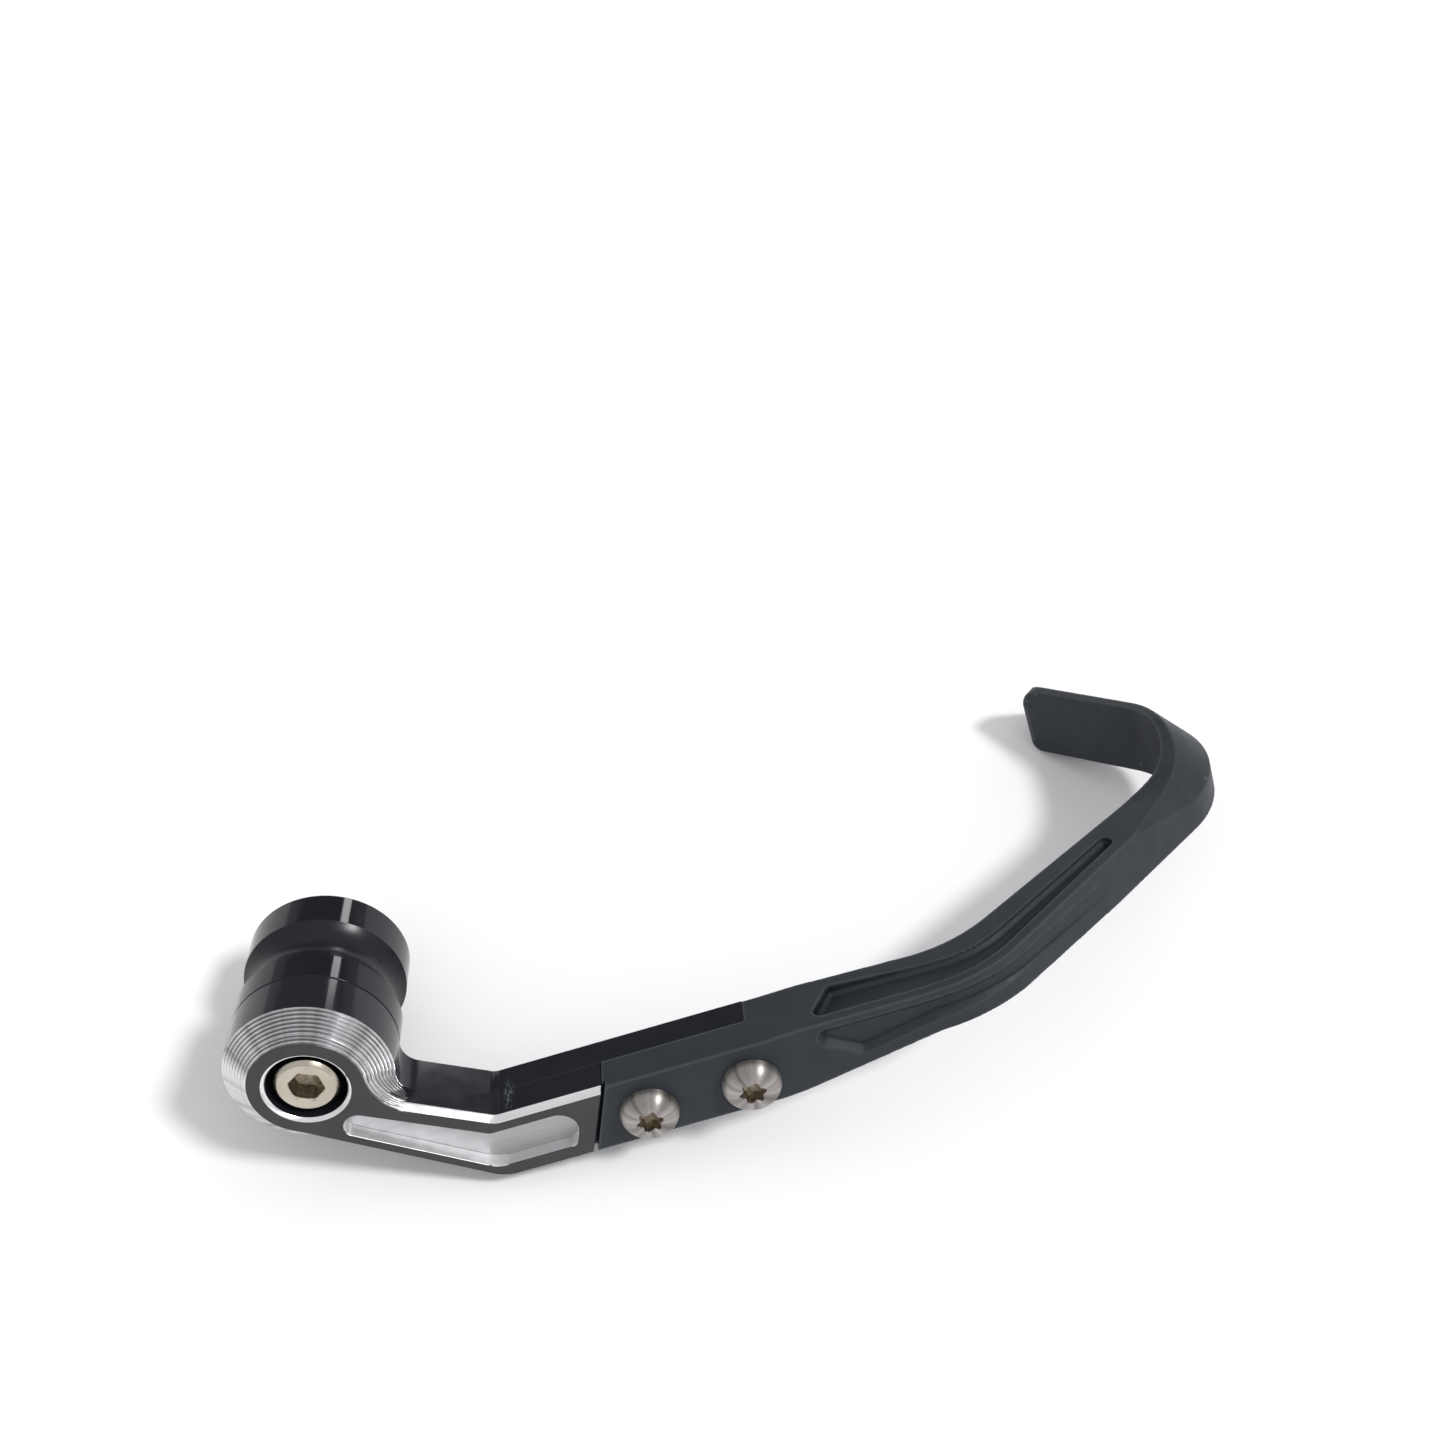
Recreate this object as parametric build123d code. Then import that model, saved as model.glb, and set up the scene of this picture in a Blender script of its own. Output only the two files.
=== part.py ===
from build123d import *
from math import acos, atan2, cos, degrees, radians, sin, tan
import os

os.makedirs("parts", exist_ok=True)

# Driving dimensions, in millimetres and degrees. The part's origin lies on the bolt axis, where the free
# thread begins. +X runs forward along the blade, +Y inboard into the bar and +Z is up.
# While modelling, Y is counted from the front face of the arm; every piece is moved at the end.

# Bolt, a standard M8 socket head
BOLT_D = 8.0
BOLT_L = 48.5
SHANK_D = 7.2
THREAD_RELIEF = 0.5
BOLT_END_CHAMFER = 1.0
HEAD_D = 13.0
HEAD_H = 8.0
HEX_AF = 6.0
HEX_DEPTH = 4.0
HEAD_CHAMFER = 0.8
HEAD_SINK = 0.6
BOLT_CLEARANCE = 0.25
HEAD_CLEARANCE = 1.55

# Hub and arm
PLATE_T = 14.0
HUB_R = 17.0
FACE_R = 11.6
CONE_DEPTH = 4.75
TERRACES = 9
ARM_TOP = -20.8
ARM_SLOPE = 32.5
ELBOW_TOP_X = 31.0
ELBOW_BOTTOM_X = 27.8
TOP_CHAMFER = 1.25
TOP_STEP = 0.27
HUB_BLEND_R = 5.0
ELBOW_TOP_R = 3.0
ELBOW_BOTTOM_R = 8.0
BORE_CHAMFER = 0.7
POCKET_DEPTH = 3.0
POCKET_LEFT_X = 2.6
POCKET_RIM_TOP = 3.6
POCKET_RIM_BOTTOM = 3.0
POCKET_END_GAP = 3.9
POCKET_LEFT_R = 3.0
POCKET_END_R = 4.0
POCKET_CORNER_R = 1.5
POCKET_ELBOW_TOP_R = 2.0
POCKET_ELBOW_BOTTOM_R = 6.0
POCKET_ELBOW_TOP_IN = 1.9
POCKET_ELBOW_BOTTOM_IN = 0.4

# Lap joint of the arm and the blade
JOINT_TOP_X = 54.0
JOINT_LEAN = 24.0
JOINT_GAP = 0.15
JOINT_GROOVE_W = 0.8
JOINT_GROOVE_DEPTH = 2.0
LAP_T = 7.7
TONGUE_L = 36.0
TONGUE_CLIP = 5.4
TONGUE_GAP = 0.1
SCREW_D = 6.0
SCREW_CLEARANCE = 0.2
SCREW_THREAD_GAP = 0.05
SCREW_INSET = 7.3
SCREW_PITCH = 21.6
SCREW_HEAD_D = 12.0
SCREW_HEAD_H = 3.5
SCREW_RIM = 0.9
SCREW_FLAT_D = 6.0
SCREW_HIP_D = 10.2
SCREW_HIP_H = 2.3
SOCKET_D = 5.4
SOCKET_LOBE_R = 0.75
SCREW_DROP = 1.2

# Barrel
BARREL_L = 26.4
BAND_L = 7.0
NECK_L = 11.0
NECK_R = 14.5
NECK_STEPS = 4
BOSS_R = 12.85
BOSS_L = 2.6
BARREL_CHAMFER = 0.4

# Blade
BLADE_TOP = -20.6
BLADE_BOTTOM = -36.7
BLADE_BACK = 13.6
SLIM_TOP = -22.2
SLIM_BOTTOM = -34.4
WAIST_BOTTOM = -32.8
WAIST_LEAD = 12.0
WAIST_TRAIL = 1.5
PADDLE_LEAD = 21.9
SLIM_START_X = 95.0
SLIM_LEAD = 14.5
PADDLE_TOP = -16.2
RAMP_START_Y = 45.0
RAMP_END_Y = 61.5
SHOULDER_Z = -27.5
RAMP_R = 20.0
UNDER_R = 60.0
WAIST_R = 30.0
OUTER_START_X = 88.0
OUTER_YAW = 4.0
OUTER_BEND_R = 32.0
OUTER_ANGLE = 37.3
INNER_BEND = (130.0, 15.2)
INNER_BEND_R = 30.0
INNER_ANGLE = 33.1
HOOK_CENTRE = (173.7, 60.36)
HOOK_R = 21.7
HOOK_INNER_R = 14.0
TIP_ANGLE = 135.5
TIP_T = 10.2
TIP_LENGTH = 28.9
TIP_EDGE = 2.0
TIP_TOP_R = 5.3
TIP_BOTTOM_R = 2.5
FACET_START_X = 171.0

# Channels of the blade
CHANNEL_FLOOR = -23.7
CHANNEL_START = (97.6, 3.2)
CHANNEL_START_IN = (102.4, 11.5)
CHANNEL_BEND_IN = (133.0, 10.8)
CHANNEL_LAND = 2.5
CHANNEL_END = (166.9, 33.2)
CHANNEL_END_W = 3.0
CHANNEL_START_R = 1.5
CHANNEL_END_R = 1.4
CHANNEL_OUT_R = 28.0
CHANNEL_IN_R = 24.0
CHANNEL_SLOPE = 1.0
SIDE_CHANNEL_DEPTH = 1.6
SIDE_SLOPE = 1.5
SIDE_START_X = 98.3
SIDE_CORNER_RUN = 7.7
SIDE_START_H = 3.7
SIDE_START_R = 2.0
SIDE_CORNER_R = 3.0
SIDE_CORNER_LIFT = 2.2
SIDE_LIP = 2.0
SIDE_LIP_LOW = 3.2
SIDE_RUN_OUT = 28.0

ARM_BOTTOM = BLADE_BOTTOM
STACK = PLATE_T + BARREL_L + BOSS_L
THREAD_START = STACK + THREAD_RELIEF
TONGUE_END_X = JOINT_TOP_X + TONGUE_L
SCREW_X = JOINT_TOP_X + SCREW_INSET
SCREW_Z = (BLADE_TOP + BLADE_BOTTOM) / 2 - SCREW_DROP
SCREW_XS = (SCREW_X, SCREW_X + SCREW_PITCH)
SEAT_DEPTH = HEAD_SINK + HEAD_H
BORE_R = BOLT_D / 2 + BOLT_CLEARANCE


def prism(sketch, y0, y1):
    """Extrudes a sketch drawn in X and Z from y0 to y1."""
    return extrude(Plane.XZ.offset(-y1) * sketch, y1 - y0)


def outline(*points):
    """Returns the face inside a closed outline."""
    return make_face(Polyline(*points, close=True))


def rounded(face, *corners):
    """Rounds the corners of a face. Each corner is a point and a radius."""
    for point, radius in corners:
        vertex = face.vertices().sort_by_distance(Vector(point[0], point[1], 0))[0]
        face = fillet(vertex, radius)
    return face


def rod(radius, y0, y1):
    """Returns a cylinder about the Y direction from y0 to y1."""
    return prism(Circle(radius), y0, y1)


def turned(*points):
    """Revolves an outline of radius and Y about the bolt axis."""
    return revolve(outline(*points), axis=Axis.Y)


def step(point, angle, distance):
    """Returns the plan point at a distance from another in a direction."""
    return (point[0] + distance * cos(radians(angle)), point[1] + distance * sin(radians(angle)))


def meet(p, angle_p, q, angle_q):
    """Returns the crossing of two plan lines, each given by a point and a direction."""
    a = (cos(radians(angle_p)), sin(radians(angle_p)))
    b = (cos(radians(angle_q)), sin(radians(angle_q)))
    t = ((q[0] - p[0]) * b[1] - (q[1] - p[1]) * b[0]) / (a[0] * b[1] - a[1] * b[0])
    return (p[0] + t * a[0], p[1] + t * a[1])


# Hub and arm
elbow_top = (ELBOW_TOP_X, ARM_TOP)
elbow_bottom = (ELBOW_BOTTOM_X, ARM_BOTTOM)
reach = (ELBOW_BOTTOM_X**2 + ARM_BOTTOM**2) ** 0.5
flank_r = FACE_R - 0.1
tangent_angle = degrees(atan2(ARM_BOTTOM, ELBOW_BOTTOM_X) - acos(flank_r / reach))
flank = (flank_r * cos(radians(tangent_angle)), flank_r * sin(radians(tangent_angle)))
root = step(elbow_top, 180 - ARM_SLOPE, ELBOW_TOP_X / cos(radians(ARM_SLOPE)))
arm_offset = root[1] * cos(radians(ARM_SLOPE))
joint_bottom_x = JOINT_TOP_X - (ARM_TOP - ARM_BOTTOM) * tan(radians(JOINT_LEAN))


def arm_outline(top, *end):
    """Returns the arm's outline, from the top of its elbow over the points of its end."""
    face = outline(root, top, *end, elbow_bottom, flank)
    return rounded(face, (top, ELBOW_TOP_R), (elbow_bottom, ELBOW_BOTTOM_R))


front_top = step(elbow_top, -ARM_SLOPE, TOP_STEP / sin(radians(ARM_SLOPE)))
front_end = ((JOINT_TOP_X, front_top[1]), (joint_bottom_x, ARM_BOTTOM))
tongue_end = (
    (TONGUE_END_X - TONGUE_CLIP, ARM_TOP),
    (TONGUE_END_X, ARM_TOP - TONGUE_CLIP),
    (TONGUE_END_X, ARM_BOTTOM + TONGUE_CLIP),
    (TONGUE_END_X - TONGUE_CLIP, ARM_BOTTOM),
)
front_half = prism(arm_outline(front_top, *front_end), 0, LAP_T)
front_edges = front_half.edges().filter_by_position(Axis.Y, -0.01, 0.01)
top_edges = [
    edge
    for edge in front_edges
    if edge.center().Z > front_top[1] - 0.05 and edge.center().X > 5 and edge.center().X < JOINT_TOP_X - 1
]
front_half = chamfer(top_edges, TOP_CHAMFER)
hub_arm = front_half + prism(arm_outline(elbow_top, *tongue_end), LAP_T, PLATE_T)

terrace = CONE_DEPTH / TERRACES
for level in range(TERRACES + 1):
    radius = FACE_R + (HUB_R - FACE_R) * level / TERRACES
    y0 = level * terrace
    y1 = PLATE_T if level == TERRACES else y0 + terrace
    hub_arm += rod(radius, y0, y1)
    # the blend touches the round of this terrace and the arm's top line below its chamfer
    drop = max(TOP_CHAMFER - y0, 0)
    foot = step((0, 0), 90 - ARM_SLOPE, arm_offset - drop)
    blend_r = HUB_BLEND_R + HUB_R - radius
    rise = arm_offset - drop + blend_r
    along = ((radius + blend_r) ** 2 - rise**2) ** 0.5
    blend_centre = step(step((0, 0), 90 - ARM_SLOPE, rise), -ARM_SLOPE, along)
    centre_angle = degrees(atan2(blend_centre[1], blend_centre[0]))
    on_round = step((0, 0), centre_angle, radius)
    on_line = step(foot, -ARM_SLOPE, along)
    middle = step(blend_centre, (centre_angle + 180 + 270 - ARM_SLOPE) / 2, blend_r)
    web = ThreePointArc(on_round, middle, on_line)
    web += Polyline(on_line, foot, step((0, 0), centre_angle, 1), on_round)
    hub_arm += prism(make_face(web), y0, y1)

pocket_top = (ELBOW_TOP_X - POCKET_ELBOW_TOP_IN, ARM_TOP - POCKET_RIM_TOP)
pocket_bottom = (ELBOW_BOTTOM_X - POCKET_ELBOW_BOTTOM_IN, ARM_BOTTOM + POCKET_RIM_BOTTOM)
flank_slope = degrees(atan2(flank[1] - ARM_BOTTOM, ELBOW_BOTTOM_X - flank[0]))
pocket_end_x = joint_bottom_x - POCKET_END_GAP
pocket_points = (
    (POCKET_LEFT_X, pocket_top[1] + (pocket_top[0] - POCKET_LEFT_X) * tan(radians(ARM_SLOPE))),
    pocket_top,
    (pocket_end_x + (pocket_top[1] - ARM_BOTTOM) * tan(radians(JOINT_LEAN)), pocket_top[1]),
    (pocket_end_x + POCKET_RIM_BOTTOM * tan(radians(JOINT_LEAN)), pocket_bottom[1]),
    pocket_bottom,
    (POCKET_LEFT_X, pocket_bottom[1] + (pocket_bottom[0] - POCKET_LEFT_X) * tan(radians(flank_slope))),
)
pocket = rounded(
    outline(*pocket_points),
    (pocket_points[0], POCKET_LEFT_R),
    (pocket_points[1], POCKET_ELBOW_TOP_R),
    (pocket_points[2], POCKET_END_R),
    (pocket_points[3], POCKET_CORNER_R),
    (pocket_points[4], POCKET_ELBOW_BOTTOM_R),
    (pocket_points[5], POCKET_CORNER_R),
)
hub_arm -= prism(pocket, -1, POCKET_DEPTH)
counterbore_r = HEAD_D / 2 + HEAD_CLEARANCE
hub_arm -= turned(
    (0, -1),
    (counterbore_r + BORE_CHAMFER, -1),
    (counterbore_r + BORE_CHAMFER, 0),
    (counterbore_r, BORE_CHAMFER),
    (counterbore_r, SEAT_DEPTH),
    (BORE_R, SEAT_DEPTH),
    (BORE_R, PLATE_T + 1),
    (0, PLATE_T + 1),
)
for x in SCREW_XS:
    hub_arm -= Pos(x, 0, SCREW_Z) * rod(SCREW_D / 2 + SCREW_THREAD_GAP, 0, PLATE_T + 1)

# Barrel
band_end = PLATE_T + BAND_L
barrel_end = PLATE_T + BARREL_L
# the neck is a shallow hollow in short cones
neck = []
for count in range(NECK_STEPS + 1):
    share = count / NECK_STEPS
    neck.append((NECK_R + (HUB_R - NECK_R) * (2 * share - 1) ** 2, band_end + NECK_L * share))
bar_end_barrel = turned(
    (BORE_R, PLATE_T),
    (HUB_R - BARREL_CHAMFER, PLATE_T),
    (HUB_R, PLATE_T + BARREL_CHAMFER),
    *neck,
    (HUB_R, barrel_end),
    (BOSS_R, barrel_end),
    (BOSS_R, STACK),
    (BORE_R, STACK),
)

# Bolt
head_r = HEAD_D / 2
thread_r = BOLT_D / 2
bolt_end = SEAT_DEPTH + BOLT_L
bar_bolt = turned(
    (0, HEAD_SINK),
    (head_r - HEAD_CHAMFER, HEAD_SINK),
    (head_r, HEAD_SINK + HEAD_CHAMFER),
    (head_r, SEAT_DEPTH),
    (SHANK_D / 2, SEAT_DEPTH),
    (SHANK_D / 2, THREAD_START),
    (thread_r, THREAD_START),
    (thread_r, bolt_end - BOLT_END_CHAMFER),
    (thread_r - BOLT_END_CHAMFER, bolt_end),
    (0, bolt_end),
)
hexagon = RegularPolygon(HEX_AF / 2, 6, major_radius=False, rotation=30)
bar_bolt -= prism(hexagon, HEAD_SINK - 1, HEAD_SINK + HEX_DEPTH)

# Blade: plan outline of the outboard wall, the hook and the inboard wall
joint_front = (JOINT_TOP_X - 20, 0)
hook_start = step(HOOK_CENTRE, OUTER_ANGLE - 90, HOOK_R)
hook_end = step(HOOK_CENTRE, TIP_ANGLE - 90, HOOK_R)
outer_bend = meet((OUTER_START_X, 0), OUTER_YAW, hook_start, OUTER_ANGLE)
hook_corner = meet(hook_start, OUTER_ANGLE, hook_end, TIP_ANGLE)
slim_end_x = outer_bend[0] - SLIM_LEAD
waist_start_x = outer_bend[0] - WAIST_LEAD
waist_end_x = outer_bend[0] - WAIST_TRAIL
paddle_start_x = hook_start[0] - PADDLE_LEAD
tip_outer = step(hook_end, TIP_ANGLE, TIP_LENGTH)
tip_inner = step(tip_outer, TIP_ANGLE + 90, TIP_T)
inner_corner = meet(INNER_BEND, INNER_ANGLE, tip_inner, TIP_ANGLE)
plan = outline(
    joint_front,
    (OUTER_START_X, 0),
    outer_bend,
    hook_corner,
    tip_outer,
    tip_inner,
    inner_corner,
    INNER_BEND,
    (OUTER_START_X, BLADE_BACK),
    (joint_front[0], BLADE_BACK),
)
plan = rounded(
    plan,
    (outer_bend, OUTER_BEND_R),
    (hook_corner, HOOK_R),
    (inner_corner, HOOK_INNER_R),
    (INNER_BEND, INNER_BEND_R),
)
blade = extrude(Pos(0, 0, BLADE_BOTTOM) * plan, PADDLE_TOP - BLADE_BOTTOM)

# Top and bottom lines of the blade
far_x = HOOK_CENTRE[0] + 2 * HOOK_R
far_y = tip_outer[1] + 10
over = outline(
    (joint_front[0] - 1, BLADE_TOP),
    (SLIM_START_X, BLADE_TOP),
    (slim_end_x, SLIM_TOP),
    (far_x, SLIM_TOP),
    (far_x, 0),
    (joint_front[0] - 1, 0),
)
under = rounded(
    outline(
        (OUTER_START_X - 8, BLADE_BOTTOM),
        (SLIM_START_X - 3, BLADE_BOTTOM),
        (waist_start_x, WAIST_BOTTOM),
        (waist_end_x, WAIST_BOTTOM),
        (paddle_start_x, SLIM_BOTTOM),
        (far_x, SLIM_BOTTOM),
        (far_x, BLADE_BOTTOM - 5),
        (OUTER_START_X - 8, BLADE_BOTTOM - 5),
    ),
    ((SLIM_START_X - 3, BLADE_BOTTOM), UNDER_R),
    ((waist_start_x, WAIST_BOTTOM), WAIST_R),
    ((waist_end_x, WAIST_BOTTOM), WAIST_R),
    ((paddle_start_x, SLIM_BOTTOM), UNDER_R),
)
ramp_y = RAMP_START_Y - 10
blade -= prism(over, -5, ramp_y)
blade -= prism(under, -5, ramp_y + 5)
blade -= prism(
    outline(
        (paddle_start_x - 20, SLIM_BOTTOM),
        (far_x, SLIM_BOTTOM),
        (far_x, BLADE_BOTTOM - 5),
        (paddle_start_x - 20, BLADE_BOTTOM - 5),
    ),
    ramp_y + 5,
    far_y,
)
ramp = rounded(
    outline(
        (ramp_y, SLIM_TOP),
        (RAMP_START_Y, SLIM_TOP),
        (RAMP_END_Y, PADDLE_TOP),
        (RAMP_END_Y + 8, PADDLE_TOP),
        (RAMP_END_Y + 8, 0),
        (ramp_y, 0),
    ),
    ((RAMP_START_Y, SLIM_TOP), RAMP_R),
    ((RAMP_END_Y, PADDLE_TOP), RAMP_R),
)
blade -= extrude(Plane.YZ * ramp, far_x)

# Rounded corners of the tip
end_edges = blade.edges().filter_by(lambda edge: abs(edge.length - TIP_T) < 0.01)
end_edges = end_edges.filter_by(lambda edge: edge.center().Y > tip_inner[1]).sort_by(Axis.Z)
blade = fillet(end_edges[-1], TIP_TOP_R)
end_edges = blade.edges().filter_by(lambda edge: abs(edge.length - TIP_T) < 0.01)
end_edges = end_edges.filter_by(lambda edge: edge.center().Y > tip_inner[1]).sort_by(Axis.Z)
blade = fillet(end_edges[0], TIP_BOTTOM_R)

# Slanted outboard facet of the hook, from its shoulder to the narrow top edge
facet_rise = PADDLE_TOP - SHOULDER_Z
facet_inset = TIP_T - TIP_EDGE
radial = Vector(*step((0, 0), OUTER_ANGLE - 90, 1))
centre = Vector(*HOOK_CENTRE)
section_plane = Plane(
    origin=centre, x_dir=radial, z_dir=Vector(*step((0, 0), OUTER_ANGLE + 180, 1))
)
section = section_plane * outline(
    (HOOK_R, SHOULDER_Z),
    (HOOK_R - 1.5 * facet_inset, SHOULDER_Z + 1.5 * facet_rise),
    (HOOK_R + 9, SHOULDER_Z + 1.5 * facet_rise),
    (HOOK_R + 9, SHOULDER_Z),
)
hook_turn = TIP_ANGLE - OUTER_ANGLE
corner_axis = Axis(centre, Vector(0, 0, 1))
facet_start_y = hook_start[1] + (FACET_START_X - hook_start[0]) * tan(radians(OUTER_ANGLE))
run_in = Vector(FACET_START_X, facet_start_y, SLIM_TOP) - Vector(*hook_start, SHOULDER_Z)
tip_section = section.rotate(corner_axis, hook_turn)
blade -= revolve(section, corner_axis, hook_turn)
blade -= extrude(section, 2 * run_in.length, dir=run_in)
blade -= extrude(tip_section, TIP_LENGTH + 10, dir=Vector(*step((0, 0), TIP_ANGLE, 1)))

# Lap over the tongue, slanted end and screw holes
lap_face = outline(
    (joint_front[0] - 1, 0),
    (TONGUE_END_X + TONGUE_GAP - TONGUE_CLIP, 0),
    (TONGUE_END_X + TONGUE_GAP - TONGUE_CLIP, ARM_TOP),
    (TONGUE_END_X + TONGUE_GAP, ARM_TOP - TONGUE_CLIP),
    (TONGUE_END_X + TONGUE_GAP, ARM_BOTTOM + TONGUE_CLIP),
    (TONGUE_END_X + TONGUE_GAP - TONGUE_CLIP, ARM_BOTTOM),
    (TONGUE_END_X + TONGUE_GAP - TONGUE_CLIP, ARM_BOTTOM - 5),
    (joint_front[0] - 1, ARM_BOTTOM - 5),
)
blade -= prism(lap_face, LAP_T, PLATE_T + 5)
lean = tan(radians(JOINT_LEAN))


def joint_side(gap):
    """Returns the outline of all that lies on the arm's side of the joint, at a gap from the arm."""
    gap_x = gap / cos(radians(JOINT_LEAN))
    return outline(
        (joint_front[0] - 1, 0),
        (JOINT_TOP_X + gap_x - ARM_TOP * lean, 0),
        (joint_bottom_x + gap_x - 5 * lean, ARM_BOTTOM - 5),
        (joint_front[0] - 1, ARM_BOTTOM - 5),
    )


blade -= prism(joint_side(JOINT_GAP), -5, PLATE_T + 5)
blade -= prism(joint_side(JOINT_GROOVE_W), -5, JOINT_GROOVE_DEPTH)
for x in SCREW_XS:
    blade -= Pos(x, 0, SCREW_Z) * rod(SCREW_D / 2 + SCREW_CLEARANCE, -1, LAP_T + 1)

# Channel along the top
channel_out = meet(
    step((OUTER_START_X, 0), OUTER_YAW + 90, CHANNEL_LAND),
    OUTER_YAW,
    step(hook_start, OUTER_ANGLE + 90, CHANNEL_LAND),
    OUTER_ANGLE,
)
channel_end_out = step(CHANNEL_END, OUTER_ANGLE - 90, CHANNEL_END_W / 2)
channel_end_in = step(CHANNEL_END, OUTER_ANGLE + 90, CHANNEL_END_W / 2)
channel_points = (
    CHANNEL_START,
    channel_out,
    channel_end_out,
    channel_end_in,
    CHANNEL_BEND_IN,
    CHANNEL_START_IN,
)
channel = rounded(
    outline(*channel_points),
    (channel_points[0], CHANNEL_START_R),
    (channel_points[1], CHANNEL_OUT_R),
    (channel_points[2], CHANNEL_END_R),
    (channel_points[3], CHANNEL_END_R),
    (channel_points[4], CHANNEL_IN_R),
    (channel_points[5], CHANNEL_START_R),
)
channel_cut = extrude(Pos(0, 0, CHANNEL_FLOOR) * channel, 8)
blade -= chamfer(channel_cut.faces().sort_by(Axis.Z)[0].edges(), CHANNEL_SLOPE)

# Channel along the outboard face, with sloped walls, running out past the bend
side_floor_bend = meet(
    step((OUTER_START_X, 0), OUTER_YAW + 90, SIDE_CHANNEL_DEPTH),
    OUTER_YAW,
    step(hook_start, OUTER_ANGLE + 90, SIDE_CHANNEL_DEPTH / 2),
    OUTER_ANGLE,
)
side_start = step((OUTER_START_X, 0), OUTER_YAW + 90, SIDE_CHANNEL_DEPTH)
side_end = step(hook_start, OUTER_ANGLE + 180, SIDE_RUN_OUT)
side_top = (SIDE_START_X, BLADE_TOP - SIDE_LIP)
side_low = (SIDE_START_X, BLADE_TOP - SIDE_LIP - SIDE_START_H)
side_corner = (SIDE_START_X + SIDE_CORNER_RUN, SLIM_BOTTOM + SIDE_CORNER_LIFT)
side_plan = rounded(
    outline(side_start, side_floor_bend, side_end, (side_end[0], -5), (side_start[0], -5)),
    (side_floor_bend, OUTER_BEND_R),
)
side_view = rounded(
    outline(
        side_top,
        side_low,
        side_corner,
        (waist_start_x, WAIST_BOTTOM + SIDE_LIP_LOW),
        (waist_end_x, WAIST_BOTTOM + SIDE_LIP_LOW),
        (side_end[0], SLIM_BOTTOM + SIDE_LIP_LOW),
        (side_end[0], SLIM_TOP - SIDE_LIP),
        (slim_end_x, SLIM_TOP - SIDE_LIP),
    ),
    (side_top, SIDE_START_R),
    (side_low, SIDE_START_R),
    (side_corner, SIDE_CORNER_R),
)
side_channel = extrude(Pos(0, 0, BLADE_BOTTOM) * side_plan, BLADE_TOP - BLADE_BOTTOM)
side_cut = side_channel & prism(side_view, -6, far_y)
floors = side_cut.faces().filter_by(lambda face: face.normal_at(None).Y > 0.5)
slope_edges = [
    edge
    for face in floors
    for edge in face.edges()
    if edge.center().X < SIDE_START_X + 0.1
    or (abs(edge.tangent_at(0.5).Z) < 0.99 and edge.center().X < side_end[0] - 0.1)
]
guard_blade = blade - chamfer(slope_edges, SIDE_SLOPE)

# Blade screws
screw_r = SCREW_D / 2
screw_head_r = SCREW_HEAD_D / 2
screw_end = PLATE_T - 0.5
screw = turned(
    (0, -SCREW_HEAD_H),
    (SCREW_FLAT_D / 2, -SCREW_HEAD_H),
    (SCREW_HIP_D / 2, -SCREW_HIP_H),
    (screw_head_r, -SCREW_RIM),
    (screw_head_r, 0),
    (screw_r, 0),
    (screw_r, screw_end),
    (0, screw_end),
)
lobe_x = SOCKET_D / 2 - SOCKET_LOBE_R
socket = Circle(lobe_x)
for turn in range(6):
    socket += Rot(0, 0, 60 * turn) * Pos(lobe_x, 0) * Circle(SOCKET_LOBE_R)
screw -= prism(socket, -SCREW_HEAD_H - 1, -SCREW_RIM)
blade_screws = Compound(children=[Pos(x, 0, SCREW_Z) * screw.solid() for x in SCREW_XS])

# One file a piece
seat = Pos(0, -THREAD_START, 0)
pieces = {
    "hub_arm": hub_arm,
    "guard_blade": guard_blade,
    "bar_end_barrel": bar_end_barrel,
    "bar_bolt": bar_bolt,
    "blade_screws": blade_screws,
}
for name, piece in pieces.items():
    export_step(seat * piece, f"parts/{name}.step")
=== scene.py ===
"""Looks of a handlebar-end brake lever guard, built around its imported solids."""

import logging
import math
from dataclasses import dataclass, field
from enum import Enum
from typing import Callable, Sequence

import bmesh
import bpy
from mathutils import Matrix, Vector


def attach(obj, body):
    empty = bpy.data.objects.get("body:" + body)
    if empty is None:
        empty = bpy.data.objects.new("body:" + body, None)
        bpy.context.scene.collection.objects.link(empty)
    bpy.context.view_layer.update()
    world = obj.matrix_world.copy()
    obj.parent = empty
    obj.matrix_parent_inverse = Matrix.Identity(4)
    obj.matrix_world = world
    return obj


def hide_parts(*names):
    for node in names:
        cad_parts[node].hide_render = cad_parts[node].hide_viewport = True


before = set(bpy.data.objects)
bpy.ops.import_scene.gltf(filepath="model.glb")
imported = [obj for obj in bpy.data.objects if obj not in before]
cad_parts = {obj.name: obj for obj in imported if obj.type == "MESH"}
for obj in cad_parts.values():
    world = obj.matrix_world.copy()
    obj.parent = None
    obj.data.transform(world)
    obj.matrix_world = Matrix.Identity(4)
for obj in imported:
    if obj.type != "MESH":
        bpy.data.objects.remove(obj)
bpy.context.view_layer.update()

LOG = logging.getLogger("lever_guard")
MM = 0.001
BODY = "root"
PLATE_FRONT = -43.5

Colour = tuple[float, float, float]
Triple = tuple[float, float, float]
Range = tuple[float, float]
Profile = list[tuple[float, float]]
Output = bpy.types.NodeSocket

# Sockets of a colour mix, which share their names with those of other kinds of mix.
MIX_SHARE, MIX_LOW, MIX_HIGH, MIX_RESULT = 0, 6, 7, 2

UNIT: Range = (0.0, 1.0)
NOISE_RANGE: Range = (0.3, 0.7)
ORIGIN: Triple = (0.0, 0.0, 0.0)
EVEN: Triple = (1.0, 1.0, 1.0)
ALONG_Y: Triple = (0.0, 1.0, 0.0)
QUARTER_TURN = 0.25

# How much of a face's direction lies along another one.
SAME_WAY = 0.9995
ROUND_WAY = 0.9
LEVEL = 0.8
SLOPING = 0.5
UPRIGHT = 0.1

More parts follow.
